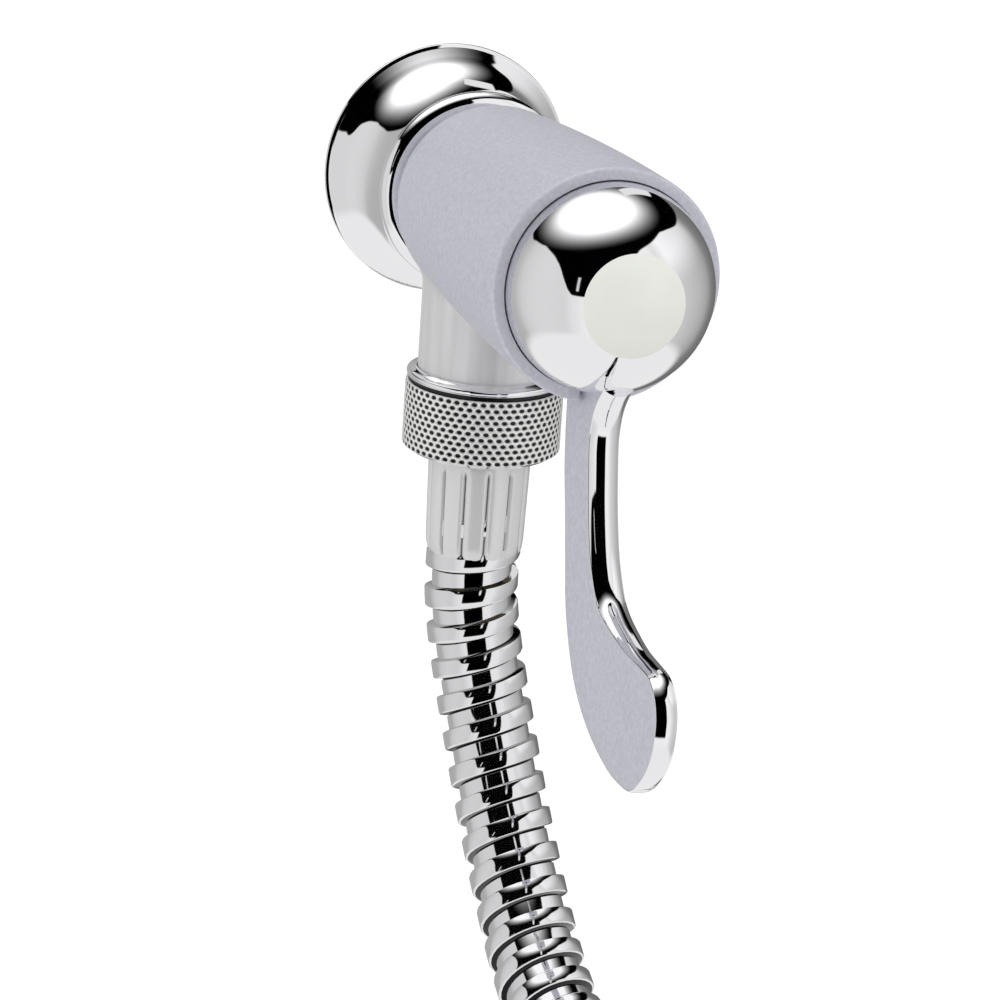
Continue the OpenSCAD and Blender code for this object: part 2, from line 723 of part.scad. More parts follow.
body_casting();
spray_bell();
bell_gasket();
spray_plate();
plate_screw();
diffuser();
valve_seat();
valve_disc();
disc_holder();
disc_nut();
spindle();
spindle_button();
return_spring();
gland_bush();
gland_seal();
spindle_seals();
pivot_bracket();
bracket_screw();
trunnion_screws();
dome_lever();
hose_nut();
hose_washer();
inlet_filter();
hose_tail();
hose_ferrule();
hose_stretch();
hose_coil();
coil_tie();
supply_ferrule();
supply_tail();
supply_nut();
supply_washer();
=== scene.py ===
"""Looks of the handheld bath sprayer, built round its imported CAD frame. Lengths in the code are millimetres."""

import math

import bmesh
import bpy
import numpy as np
from mathutils import Matrix, Vector
from mathutils.kdtree import KDTree


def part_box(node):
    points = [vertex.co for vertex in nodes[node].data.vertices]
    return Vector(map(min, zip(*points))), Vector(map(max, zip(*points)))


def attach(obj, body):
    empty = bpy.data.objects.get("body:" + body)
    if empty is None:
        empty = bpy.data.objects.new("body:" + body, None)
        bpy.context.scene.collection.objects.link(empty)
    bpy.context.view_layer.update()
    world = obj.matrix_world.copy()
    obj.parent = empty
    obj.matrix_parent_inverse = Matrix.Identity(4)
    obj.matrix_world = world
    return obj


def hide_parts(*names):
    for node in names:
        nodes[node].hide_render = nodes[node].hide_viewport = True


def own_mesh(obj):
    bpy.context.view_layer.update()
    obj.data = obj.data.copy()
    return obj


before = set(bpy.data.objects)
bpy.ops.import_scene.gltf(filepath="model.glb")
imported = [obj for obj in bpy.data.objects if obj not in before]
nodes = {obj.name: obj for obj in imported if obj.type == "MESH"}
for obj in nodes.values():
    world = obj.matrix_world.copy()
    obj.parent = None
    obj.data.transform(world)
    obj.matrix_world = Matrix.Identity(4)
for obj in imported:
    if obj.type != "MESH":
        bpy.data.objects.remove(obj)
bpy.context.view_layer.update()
scene = bpy.context.scene
scene.view_settings.view_transform = "Standard"
MM = 0.001
TAU = 2 * math.pi

# ---------------------------------------------------------------- camera

AZ, EL, ROLL = math.radians(-19.83), math.radians(17.37), math.radians(3.95)
CAMERA_TARGET, CAMERA_DISTANCE = (3.8, 0, -46.97), 589.65
SENSOR_WIDTH, LENS = 36, 136.8
back = Vector((math.sin(AZ) * math.cos(EL), -math.cos(AZ) * math.cos(EL), math.sin(EL)))
right = Vector((math.cos(AZ), math.sin(AZ), 0))
up = back.cross(right)
cam_right = right * math.cos(ROLL) + up * math.sin(ROLL)
cam_up = up * math.cos(ROLL) - right * math.sin(ROLL)
spot = (Vector(CAMERA_TARGET) + back * CAMERA_DISTANCE) * MM
camera = bpy.data.objects.new("camera", bpy.data.cameras.new("camera"))
scene.collection.objects.link(camera)
camera.matrix_world = Matrix(
    [[cam_right[i], cam_up[i], back[i], spot[i]] for i in range(3)] + [[0, 0, 0, 1]]
)
camera.data.sensor_width = SENSOR_WIDTH
camera.data.lens = LENS
camera.data.clip_start = 0.01
camera.data.clip_end = 20
scene.camera = camera

# ---------------------------------------------------------------- helpers


def make(name, verts, faces, body, material, sharp=35):
    """A mesh piece from points in millimetres, with edges over `sharp` degrees kept crisp."""
    bm = bmesh.new()
    made = [bm.verts.new(Vector(p) * MM) for p in verts]
    for f in faces:
        loop = []
        for i in f:
            if made[i] not in loop:
                loop.append(made[i])
        if len(loop) > 2:
            try:
                bm.faces.new(loop)
            except ValueError:
                pass
    bmesh.ops.remove_doubles(bm, verts=bm.verts, dist=1e-6)
    bmesh.ops.dissolve_degenerate(bm, dist=1e-7, edges=bm.edges)
    bmesh.ops.recalc_face_normals(bm, faces=bm.faces)
    for f in bm.faces:
        f.smooth = True
    for e in bm.edges:
        e.smooth = len(e.link_faces) == 2 and e.calc_face_angle(0) < math.radians(sharp)
    mesh = bpy.data.meshes.new(name)
    bm.to_mesh(mesh)
    bm.free()
    piece = bpy.data.objects.new(name, mesh)
    scene.collection.objects.link(piece)
    mesh.materials.append(material)
    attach(piece, body)
    return piece


def revolve(outline, steps, centre_y=0, closed=False):
    """Points and faces of a profile of (radius, y) turned about the Y axis, with y counted from centre_y."""
    verts, faces = [], []
    n = len(outline)
    for k in range(steps):
        c, s = math.cos(TAU * k / steps), math.sin(TAU * k / steps)
        verts += [(r * c, y + centre_y, r * s) for r, y in outline]
    for k in range(steps):
        a, b = k * n, (k + 1) % steps * n
        for i in range(n if closed else n - 1):
            j = (i + 1) % n
            faces.append((a + i, a + j, b + j, b + i))
    return verts, faces


def arc(cx, cy, r, a0, a1, n):
    """Points on a circle, from a0 to a1 degrees in n steps."""
    return [
        (cx + r * math.cos(math.radians(a0 + (a1 - a0) * i / n)),
         cy + r * math.sin(math.radians(a0 + (a1 - a0) * i / n)))
        for i in range(n + 1)
    ]


def spline(p, t):
    """Point of a smooth curve through the points p, for t from 0 to the last index."""
    n = len(p) - 1
    i = min(int(t), n - 1)
    u = t - i
    a, b, c, d = (np.array(p[max(0, min(n, k))], float) for k in (i - 1, i, i + 1, i + 2))
    return 0.5 * (2 * b + (c - a) * u + (2 * a - 5 * b + 4 * c - d) * u * u + (3 * b - a - 3 * c + d) * u ** 3)


def unit(v):
    return v / np.linalg.norm(v)


def square_to(d, side):
    """The unit vector square to the unit vector d that is nearest to side."""
    return unit(side - (side @ d) * d)


def mark_painted_shade(piece, points, values):
    """Stores on the mesh, as its layer of painted shade, the value of the nearest of the points that it was made from.
    """
    tree = KDTree(len(points))
    for i, v in enumerate(points):
        tree.insert(Vector(v) * MM, i)
    tree.balance()
    source = [tree.find(v.co)[1] for v in piece.data.vertices]
    layer = piece.data.attributes.new("recess_and_painted_shade", "FLOAT", "POINT")
    layer.data.foreach_set("value", [float(values[i]) for i in source])
    return source


def cut(piece, cutter_verts, cutter_faces):
    """Takes a closed shape away from a piece."""
    mesh = bpy.data.meshes.new("cutter")
    mesh.from_pydata([Vector(v) * MM for v in cutter_verts], [], cutter_faces)
    cutter = bpy.data.objects.new("cutter", mesh)
    scene.collection.objects.link(cutter)
    mod = piece.modifiers.new("cut", "BOOLEAN")
    mod.operation, mod.solver, mod.object = "DIFFERENCE", "EXACT", cutter
    bpy.context.view_layer.update()
    result = bpy.data.meshes.new_from_object(piece.evaluated_get(bpy.context.evaluated_depsgraph_get()))
    piece.modifiers.remove(mod)
    old = piece.data
    piece.data = result
    bpy.data.objects.remove(cutter)
    bpy.data.meshes.remove(mesh)
    bpy.data.meshes.remove(old)
    return piece


# ---------------------------------------------------------------- materials


def new_material(name):
    m = bpy.data.materials.new(name)
    m.use_nodes = True
    m.node_tree.nodes.clear()
    return m, m.node_tree.nodes, m.node_tree.links


def metal(name, colour, roughness, grain=0.0, grain_size=900.0, vary=0.0, bump=0.0, metallic=1.0, cloud_size=260.0,
          painted_shade=False, stretch=(1, 1, 1)):
    """A metal, enamel or rubber with variation of its roughness and colour, and a grain in its surface.

    `stretch` scales the colour's variation along each axis, and the shade flag paints shade, near black, where the
    mesh's layer of painted shade is high.
    """
    m, n, l = new_material(name)
    out = n.new("ShaderNodeOutputMaterial")
    bsdf = n.new("ShaderNodeBsdfPrincipled")
    l.new(bsdf.outputs[0], out.inputs[0])
    bsdf.inputs["Base Color"].default_value = (*colour, 1)
    bsdf.inputs["Metallic"].default_value = metallic
    bsdf.inputs["Roughness"].default_value = roughness
    place = n.new("ShaderNodeTexCoord")
    if grain:
        noise = n.new("ShaderNodeTexNoise")
        noise.inputs["Scale"].default_value = grain_size
        noise.inputs["Detail"].default_value = 3
        l.new(place.outputs["Object"], noise.inputs["Vector"])
        span = n.new("ShaderNodeMapRange")
        span.inputs["To Min"].default_value = max(0, roughness - grain)
        span.inputs["To Max"].default_value = roughness + grain
        l.new(noise.outputs["Fac"], span.inputs["Value"])
        l.new(span.outputs[0], bsdf.inputs["Roughness"])
        if bump:
            lift = n.new("ShaderNodeBump")
            lift.inputs["Strength"].default_value = bump
            lift.inputs["Distance"].default_value = 0.00004
            l.new(noise.outputs["Fac"], lift.inputs["Height"])
            l.new(lift.outputs[0], bsdf.inputs["Normal"])
    if vary:
        cloud = n.new("ShaderNodeTexNoise")
        cloud.inputs["Scale"].default_value = cloud_size
        cloud.inputs["Detail"].default_value = 4
        drawn = n.new("ShaderNodeMapping")
        drawn.inputs["Scale"].default_value = stretch
        l.new(place.outputs["Object"], drawn.inputs["Vector"])
        l.new(drawn.outputs[0], cloud.inputs["Vector"])
        ramp = n.new("ShaderNodeValToRGB")
        ramp.color_ramp.elements[0].position = 0.3
        ramp.color_ramp.elements[0].color = (*[c * (1 - vary) for c in colour], 1)
        ramp.color_ramp.elements[1].position = 0.7
        ramp.color_ramp.elements[1].color = (*[min(1, c * (1 + vary)) for c in colour], 1)
        l.new(cloud.outputs["Fac"], ramp.inputs["Fac"])
        l.new(ramp.outputs[0], bsdf.inputs["Base Color"])
    # painted shade: near black where the mesh's layer of painted shade is high
    if painted_shade:
        mark = n.new("ShaderNodeAttribute")
        mark.attribute_name = "recess_and_painted_shade"
        ramp = n.new("ShaderNodeValToRGB")
        ramp.color_ramp.elements[0].position = 0.3
        ramp.color_ramp.elements[0].color = (*colour, 1)
        ramp.color_ramp.elements[1].position = 0.6
        ramp.color_ramp.elements[1].color = (0.01, 0.01, 0.012, 1)
        l.new(mark.outputs["Fac"], ramp.inputs["Fac"])
        l.new(ramp.outputs[0], bsdf.inputs["Base Color"])
    return m


satin = metal("satin_nickel", (0.64, 0.64, 0.715), 0.5, grain=0.08, grain_size=3600, vary=0.09, bump=0.6, metallic=0.25,
              cloud_size=1500)
neck_metal = metal("brushed_nickel", (0.73, 0.725, 0.735), 0.34, grain=0.08, grain_size=2600, vary=0.1, bump=0.2,
                   metallic=0.2, cloud_size=420, stretch=(1, 1, 0.05))
pearl = metal("pearl_enamel", (0.87, 0.89, 0.82), 0.32, grain=0.06, grain_size=1400, vary=0.015, bump=0.08,
              metallic=0)
polish = metal("polished_nickel", (0.93, 0.93, 0.945), 0.035, grain=0.015, grain_size=300)
# the hose, the knurl and the sleeve get shade painted into their grooves and hollows
hose_metal = metal("hose_chrome", (0.85, 0.85, 0.865), 0.06, grain=0.02, grain_size=500, painted_shade=True)
knurl_metal = metal("knurled_nickel", (0.92, 0.92, 0.9), 0.26, grain=0.06, grain_size=1200, metallic=0.35,
                    painted_shade=True)
sleeve_metal = metal("sleeve_nickel", (0.78, 0.78, 0.775), 0.2, grain=0.05, grain_size=900, metallic=0.22,
                     painted_shade=True)
plate_metal = metal("plate_steel", (0.62, 0.62, 0.64), 0.28, grain=0.05, grain_size=1500, bump=0.2)
steel = metal("steel", (0.66, 0.66, 0.68), 0.22, grain=0.05, grain_size=1200)
brass = metal("brass", (0.83, 0.63, 0.3), 0.2, grain=0.06, grain_size=900, vary=0.05)
rubber = metal("rubber", (0.022, 0.022, 0.024), 0.62, grain=0.08, grain_size=1500, vary=0.2, bump=0.3, metallic=0)
strap = metal("strap", (0.035, 0.036, 0.04), 0.55, grain=0.1, grain_size=2200, vary=0.25, bump=0.5, metallic=0)

# ---------------------------------------------------------------- hose

HOSE_R, CORE_R, PITCH = 7.3, 6.15, 5.7
STRIP_STEPS = 32  # points round the hose
RUN_STEPS, COIL_STEPS, SPACING = 6, 170, 3  # points between the run's own, on the coil, and mm on the straights
route_run = [
    [0, 0, -46], [0, 0, -54], [0, 0, -61], [0.8, -0.3, -68], [2, -1.8, -76],
    [3.1, -4.6, -84], [4, -8.2, -92], [4.8, -13, -99.9], [5.4, -19.2, -107.5],
    [5.75, -26.4, -114.1], [6.3, -34.2, -119.2], [7.1, -42.6, -122.9], [8.1, -51.4, -125],
    [9.3, -60.5, -125.7], [11, -72.5, -125.7], [12.4, -84.5, -125.7], [13.2, -97, -125.7],
]
COIL_R, COIL_STEP, COIL_TURNS, STRAIGHT, TAIL = 64, 17, 2, 30, 55
NUT_R, STRAP_T = 12.25, 1.6
LIFT, RAMP = 2 * HOSE_R + 0.8, 95
COIL_HALF = HOSE_R * math.cos(math.radians(30))
RISE, RISE_LEN = NUT_R - COIL_HALF - STRAP_T, TAIL - 15
coil_start = np.array(route_run[-1], float)
coil_centre = coil_start + [COIL_R, -STRAIGHT, -LIFT]
sweep = TAU * COIL_TURNS


def ease(t):
    """From 0 to 1 and level at both ends."""
    return 0.5 - 0.5 * math.cos(math.pi * min(max(t, 0), 1))


def coil_point(a):
    """The run comes down beside the turns that it lies across, and opens into a flat spiral."""
    r = COIL_R + COIL_STEP * a / TAU
    height = LIFT * (1 - ease((STRAIGHT + COIL_R * a) / RAMP))
    return coil_centre + [-r * math.cos(a), -r * math.sin(a), height]


end_dir = np.array([math.sin(sweep), -math.cos(sweep), 0])
hose_path = [spline(route_run, t / RUN_STEPS) for t in range(RUN_STEPS * (len(route_run) - 1) + 1)]
hose_path += [coil_start - [0, s, LIFT * ease(s / RAMP)] for s in range(SPACING, STRAIGHT, SPACING)]
hose_path += [coil_point(sweep * i / COIL_STEPS) for i in range(COIL_STEPS + 1)]
hose_path += [coil_point(sweep) + s * end_dir + [0, 0, RISE * ease(s / RISE_LEN)]
              for s in (*range(SPACING, TAIL, SPACING), TAIL)]
hose_end = hose_path[-1]
hose_at = np.concatenate([[0], np.cumsum([np.linalg.norm(b - a) for a, b in zip(hose_path, hose_path[1:])])])
HOSE_LENGTH = float(hose_at[-1])


def hose_frames():
    """Direction and side vectors along the route, carried along without twist."""
    dirs, sides = [], []
    side = np.array([1.0, 0, 0])
    for i in range(len(hose_path)):
        d = unit(hose_path[min(i + 1, len(hose_path) - 1)] - hose_path[max(i - 1, 0)])
        side = square_to(d, side)
        dirs.append(d)
        sides.append(side)
    return np.array(dirs), np.array(sides)


def build_hose():
    """The interlocked strip: one raised band and one groove a turn, wound as a right-handed helix.

    The strip's section is a list of (share of the pitch, radius, painted shade); the shade is painted near black on the
    wall under each raised band.
    """
    shape = [
        # a third column of 1 paints near-black shade on the wall under the raised band
        (0.0, CORE_R, 0), (0.015, 6.8, 0), (0.035, 7.2, 0), (0.07, 7.3, 0), (0.28, 7.31, 0), (0.48, 7.3, 0),
        (0.515, 7.2, 0), (0.532, 6.95, 0), (0.535, 6.87, 1), (0.545, 5.9, 1), (0.61, 5.9, 1), (0.617, CORE_R, 0),
        (0.8, CORE_R + 0.03, 0),
    ]
    across = STRIP_STEPS
    p = len(shape)
    total = int(math.ceil(HOSE_LENGTH / PITCH)) + 1
    dirs, sides = hose_frames()
    verts, faces = [], []
    for a in range(-across, total * across + 1):
        angle = TAU * a / across
        c, s = math.cos(angle), math.sin(angle)
        for f, r, _ in shape:
            at = min(max(PITCH * (a / across + f), 0.0), HOSE_LENGTH)
            i = min(max(int(np.searchsorted(hose_at, at)) - 1, 0), len(hose_path) - 2)
            u = (at - hose_at[i]) / (hose_at[i + 1] - hose_at[i])
            centre = hose_path[i] * (1 - u) + hose_path[i + 1] * u
            d = unit(dirs[i] * (1 - u) + dirs[i + 1] * u)
            side = square_to(d, sides[i] * (1 - u) + sides[i + 1] * u)
            other = np.cross(d, side)
            verts.append(centre + r * (c * side + s * other))
    count = total * across + across + 1
    for a in range(count - 1):
        for j in range(p):
            if j < p - 1:
                faces.append((a * p + j, a * p + j + 1, (a + 1) * p + j + 1, (a + 1) * p + j))
            elif a + across + 1 < count:
                b = a + across
                faces.append((a * p + j, b * p, (b + 1) * p, (a + 1) * p + j))
    piece = make("hose", verts, faces, "head", hose_metal, sharp=38)
    # stores the strip's painted shade on the mesh
    mark_painted_shade(piece, verts, [shape[i % p][2] for i in range(len(verts))])
    return piece


hose = build_hose()
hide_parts("hose_stretch", "hose_coil")



def build_strap():
    """The strap round the coil's turns, a closed band with rounded corners and soft edges."""
    at_front = coil_point(TAU / 4 + TAU)[1] - HOSE_R
    at_rear = coil_point(TAU / 4)[1] + HOSE_R
    half_width, t, r, play, soft, lip = 4.5, 0.75, 6.6, 0.3, 0.3, 0.2
    z, half_height = coil_centre[2], 7.35
    low, high = z - half_height - 0.02, z + half_height + 0.02
    rear, front = at_rear - r + play, at_front + r - play
    ring = []
    for y, height, a0 in ((rear, high - r, 0), (front, high - r, 90), (front, low + r, 180), (rear, low + r, 270)):
        ring += [(y, height, math.radians(a0 + 90 * i / 8)) for i in range(9)]
    section = [(r, -half_width + soft), (r + lip, -half_width), (r + t - lip, -half_width), (r + t, -half_width + soft)]
    section += [(rr, -x) for rr, x in section[::-1]]
    verts, faces = [], []
    for y, height, a in ring:
        for rr, x in section:
            verts.append((coil_centre[0] + x, y + rr * math.cos(a), height + rr * math.sin(a)))
    n, m = len(ring), len(section)
    for k in range(n):
        for i in range(m):
            j = (i + 1) % m
            faces.append((k * m + i, k * m + j, (k + 1) % n * m + j, (k + 1) % n * m + i))
    return make("strap", verts, faces, "head", strap)


tie = build_strap()
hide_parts("coil_tie")

# ---------------------------------------------------------------- nut, ferrule

NECK_LEN, ENGAGE, NUT_H, NUT_FLOOR = 32.9, 7.5, 13.0, 1.5
NUT_TOP = -NECK_LEN + ENGAGE
NUT_BOTTOM = NUT_TOP - NUT_H
FERRULE_TOP = NUT_BOTTOM - 0.3
FERRULE_LEN = 16.3
SOCKET = 9.0


def knurled_nut():
    """The nut about the Z axis, at the head's end: a plain ring above staggered rows of knurl hollows; shade is painted
    near black into the hollows and into the groove under the ring.
    """
    around, lines, per = 56, 11, 6  # hollows round the nut, rows of hollows, and mesh steps from one to the next
    pit_r, pit_depth, pit_width = 0.38, 0.34, 0.72
    thread_r, relief_r, washer_r = 10.55, 10.95, 7.0
    top, low = -2.3, -(NUT_H - 0.6)
    n, rows = around * per, lines * per
    step_a, step_z = TAU * NUT_R / around, (top - low) / lines
    verts, faces, painted_shade = [], [], []
    for j in range(rows + 1):
        z = top + (low - top) * j / rows
        for i in range(n):
            near = math.inf
            closest = round(j / per - 0.5)
            for line in (closest - 1, closest, closest + 1):
                if 0 <= line < lines:
                    across = (i / per - line / 2) % 1
                    across = min(across, 1 - across) * step_a * pit_width
                    near = min(near, math.hypot(across, (j / per - 0.5 - line) * step_z))
            # how deep the knurl hollow is here, a value that also paints shade near black into the hollow
            recess_and_painted_shade = math.exp(-((near / pit_r) ** 2))
            r = NUT_R - pit_depth * recess_and_painted_shade - (0.25 if j in (0, rows) else 0)
            t = TAU * i / n
            verts.append((r * math.cos(t), r * math.sin(t), z + NUT_TOP))
            painted_shade.append(recess_and_painted_shade)
    for j in range(rows):
        for i in range(n):
            faces.append((j * n + i, j * n + (i + 1) % n, (j + 1) * n + (i + 1) % n, (j + 1) * n + i))

    def ring_from(profile, start_row, dark=0):
        """Adds a ring of points for each (radius, z), joined to the one before; the first `dark` rings are painted near
        black as shade.
        """
        prev = start_row
        for k, (r, z) in enumerate(profile):
            base = len(verts)
            for i in range(n):
                t = TAU * i / n
                verts.append((r * math.cos(t), r * math.sin(t), z + NUT_TOP))
                painted_shade.append(float(k < dark))
            for i in range(n):
                faces.append((prev + i, prev + (i + 1) % n, base + (i + 1) % n, base + i))
            prev = base

    rise = [(NUT_R - 0.75, top + 0.12), (NUT_R - 0.8, -1.7), (NUT_R - 0.55, -1.6), (NUT_R - 0.3, -1.5)]
    rise += arc(NUT_R - 0.62, -1.0, 0.45, -70, 88, 9)
    rise += [(NUT_R - 1.0, -0.28), (NUT_R - 1.25, -0.05), (NUT_R - 1.45, 0.0), (thread_r + 0.2, 0.0),
             (thread_r, -0.2), (thread_r, -ENGAGE), (relief_r, -ENGAGE), (relief_r, -(NUT_H - NUT_FLOOR))]
    # the first three rings make the groove under the polished rim, and they are painted near black as shade
    ring_from(rise, 0, dark=3)
    ring_from([(NUT_R - 0.6, low - 0.12), (NUT_R - 1.2, -NUT_H), (washer_r, -NUT_H),
               (washer_r, -(NUT_H - NUT_FLOOR)), (relief_r, -(NUT_H - NUT_FLOOR))], rows * n)
    polished_from = (rows + 4) * n  # the first point above the groove, painted dark as shade, over the knurl
    return verts, faces, painted_shade, polished_from


def ferrule_shape():
    """The crimped sleeve about the Z axis: broad flats between narrow grooves, with a step at its foot; shade is
    painted dark along the grooves.
    """
    flutes, per = 13, 14
    n = flutes * per
    rows = [
        (0.0, -0.6, 0), (0.25, -0.22, 0), (0.7, 0.0, 0), (1.3, 0.0, 0), (1.8, 0.0, 0.7), (2.4, 0.0, 1),
        (FERRULE_LEN - 3.2, 0.0, 1), (FERRULE_LEN - 2.6, 0.0, 1), (FERRULE_LEN - 1.2, -0.12, 1),
        (FERRULE_LEN - 0.5, -0.3, 0.6), (FERRULE_LEN - 0.1, -0.55, 0.3), (FERRULE_LEN, -0.8, 0),
    ]
    verts, faces, painted_shade = [], [], []
    for down, inset, flute in rows:
        base = 7.9 - 0.4 * down / FERRULE_LEN + inset
        for i in range(n):
            t = (i % per) / per
            near = min(t, 1 - t) * TAU * 7.7 / flutes
            groove = 0.62 * math.exp(-((near / 0.24) ** 2)) * flute
            # shade painted dark along each groove, strongest at its middle
            painted_shade.append(0.52 * math.exp(-((near / 0.3) ** 2)) * flute)
            chord = 0.16 * (1 - (2 * t - 1) ** 2 - 0.6) * flute
            a = TAU * (i + per / 2) / n
            r = base - groove + chord * 0.6
            verts.append((r * math.cos(a), r * math.sin(a), FERRULE_TOP - down))
    m = len(rows)
    for j in range(m - 1):
        for i in range(n):
            faces.append((j * n + i, j * n + (i + 1) % n, (j + 1) * n + (i + 1) % n, (j + 1) * n + i))
    for r, down, at in ((6.45, FERRULE_LEN, m - 1), (6.45, FERRULE_LEN - SOCKET, -1)):
        base = len(verts)
        for i in range(n):
            a = TAU * (i + per / 2) / n
            verts.append((r * math.cos(a), r * math.sin(a), FERRULE_TOP - down))
        prev = (m - 1) * n if at > 0 else base - n
        for i in range(n):
            faces.append((prev + i, prev + (i + 1) % n, base + (i + 1) % n, base + i))
    base = len(verts)
    for i in range(n):
        a = TAU * (i + per / 2) / n
        verts.append((4.45 * math.cos(a), 4.45 * math.sin(a), FERRULE_TOP))
    for i in range(n):
        faces.append((i, (i + 1) % n, base + (i + 1) % n, base + i))
    return verts, faces, painted_shade + [0.0] * (len(verts) - len(painted_shade))


def to_supply(verts):
    """Carries points from the head's end of the hose to its supply end."""
    x = Vector(end_dir)
    z = Vector((0, 0, 1))
    turn = Matrix((-z, x.cross(z) * -1, x)).transposed()
    shift = Vector(hose_end) - turn @ Vector((0, 0, FERRULE_TOP - FERRULE_LEN + SOCKET))
    return [turn @ Vector(v) + shift for v in verts]


# Each nut's node has the same name as the body that it rides on
nut_v, nut_f, nut_painted_shade, polished_from = knurled_nut()
for name, node, place in (("knurled_nut", "hose_nut", list), ("supply_union_nut", "supply_nut", to_supply)):
    points = place(nut_v)
    nut = make(name, points, nut_f, node, knurl_metal, sharp=30)
    # the knurl hollows and the rim groove take their painted shade from the points
    source = mark_painted_shade(nut, points, nut_painted_shade)
    nut.data.materials.append(polish)
    for poly in nut.data.polygons:
        if max(source[i] for i in poly.vertices) >= polished_from:
            poly.material_index = 1
    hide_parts(node)
fer_v, fer_f, fer_painted_shade = ferrule_shape()
for name, node, place in (("fluted_ferrule", "hose_ferrule", list), ("supply_sleeve", "supply_ferrule", to_supply)):
    points = place(fer_v)
    sleeve = make(name, points, fer_f, "head", sleeve_metal, sharp=50)
    # the sleeve's grooves take their painted shade from the points
    mark_painted_shade(sleeve, points, fer_painted_shade)
    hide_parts(node)

# The photograph has no coil, so what belongs to it is kept out of the reflections
for name in ("hose", "hose_tail", "strap", "supply_union_nut", "supply_sleeve", "supply_tail", "supply_washer"):
    bpy.data.objects[name].visible_glossy = False

# ---------------------------------------------------------------- casting

HUB_Y = -48.7
MOUTH_R, NODE_R, NECK_R = 17.0, 15, 10.45
MOUTH_BORE, CHAMBER_R = 15.4, 9.6


def barrel_radius(y):
    """Outer radius of the barrel, which widens towards its mouth."""
    return MOUTH_R - 2.0 * (1 + y / 46) ** 2


def build_casting():
    """The barrel and its round node, bored from both ends, with the slot in the mouth that the blade swings in."""
    front_y = 8.5
    front_r = math.sqrt(NODE_R ** 2 - front_y ** 2)
    line = [(CHAMBER_R, 10.0), (6.5, 10.0), (6.5, 15.0), (9.9, 15.0), (10.5, 14.4), (10.5, front_y),
            (front_r - 0.35, front_y), (front_r - 0.1, 8.42)]
    a0 = math.degrees(math.asin(8.1 / NODE_R))
    line += [(NODE_R * math.cos(math.radians(a)), NODE_R * math.sin(math.radians(a)))
             for a in np.linspace(a0, 0, 16)]
    line += [(barrel_radius(y), y) for y in np.linspace(-1.5, -45.6, 40)]
    line += [(barrel_radius(y), y) for y in np.linspace(-46, -48.1, 5)]
    line += arc(MOUTH_R - 0.55, HUB_Y + 0.55, 0.55, 0, -85, 7)
    line += [(15.3, HUB_Y), (15.2, HUB_Y + 0.1), (15.2, HUB_Y + 1.2), (MOUTH_BORE, HUB_Y + 1.4),
             (MOUTH_BORE, HUB_Y + 10.5), (13.4, HUB_Y + 10.5), (13.4, -27.0), (11.4, -27.0), (11.4, -19.0),
             (CHAMBER_R, -19.0)]
    verts, faces = revolve(line, 144, closed=True)
    body = make("casting", verts, faces, "head", satin, sharp=30)
    half, end_y = 3.0, HUB_Y + 10
    slot = [(half, HUB_Y - 2), (half, end_y)]
    slot += [(half * math.cos(a), end_y + half * math.sin(a)) for a in np.linspace(0.2, math.pi - 0.2, 12)]
    slot += [(-half, end_y), (-half, HUB_Y - 2)]
    n = len(slot)
    v = [(x, y, z) for z in (-19.0, -10.0) for x, y in slot]
    f = [tuple(range(n)), tuple(reversed(range(n, 2 * n)))]
    f += [(i, (i + 1) % n, (i + 1) % n + n, i + n) for i in range(n)]
    return cut(body, v, f)


casting = build_casting()


def build_neck():
    """The neck below the node, with the small fillet that runs up into it."""
    r0, steps, reach, arc_n = NECK_R, 128, 1.7, 10
    low = [(9.0, -NECK_LEN), (r0 - 0.7, -NECK_LEN), (r0 - 0.15, -NECK_LEN + 0.5), (r0, -NECK_LEN + 0.7),
           (r0, -30), (r0, -26), (r0, -22)]

    def body_z(x, y):
        """Height of the casting's underside."""
        r = math.sqrt(max(0, NODE_R ** 2 - y * y)) if y > 0 else barrel_radius(y)
        return -math.sqrt(max(0.0, r * r - x * x))

    verts, faces = [], []
    rows = len(low) + arc_n + 1
    for k in range(steps):
        c, s = math.cos(TAU * k / steps), math.sin(TAU * k / steps)
        for r, z in low:
            verts.append((r * c, r * s, z))
        z_in = body_z(r0 * c, r0 * s)
        out = r0 + reach
        p0 = (r0, z_in - reach * 1.2)
        p1 = (r0, z_in)
        p2 = (out, body_z(out * c, out * s))
        for i in range(arc_n + 1):
            t = i / arc_n
            r = (1 - t) ** 2 * p0[0] + 2 * t * (1 - t) * p1[0] + t * t * p2[0]
            z = (1 - t) ** 2 * p0[1] + 2 * t * (1 - t) * p1[1] + t * t * p2[1]
            if i == arc_n:
                z += 0.12
            verts.append((r * c, r * s, z))
    for k in range(steps):
        a, b = k * rows, (k + 1) % steps * rows
        for i in range(rows - 1):
            faces.append((a + i, a + i + 1, b + i + 1, b + i))
    return make("neck", verts, faces, "head", neck_metal)


build_neck()
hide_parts("body_casting")

# ---------------------------------------------------------------- bell


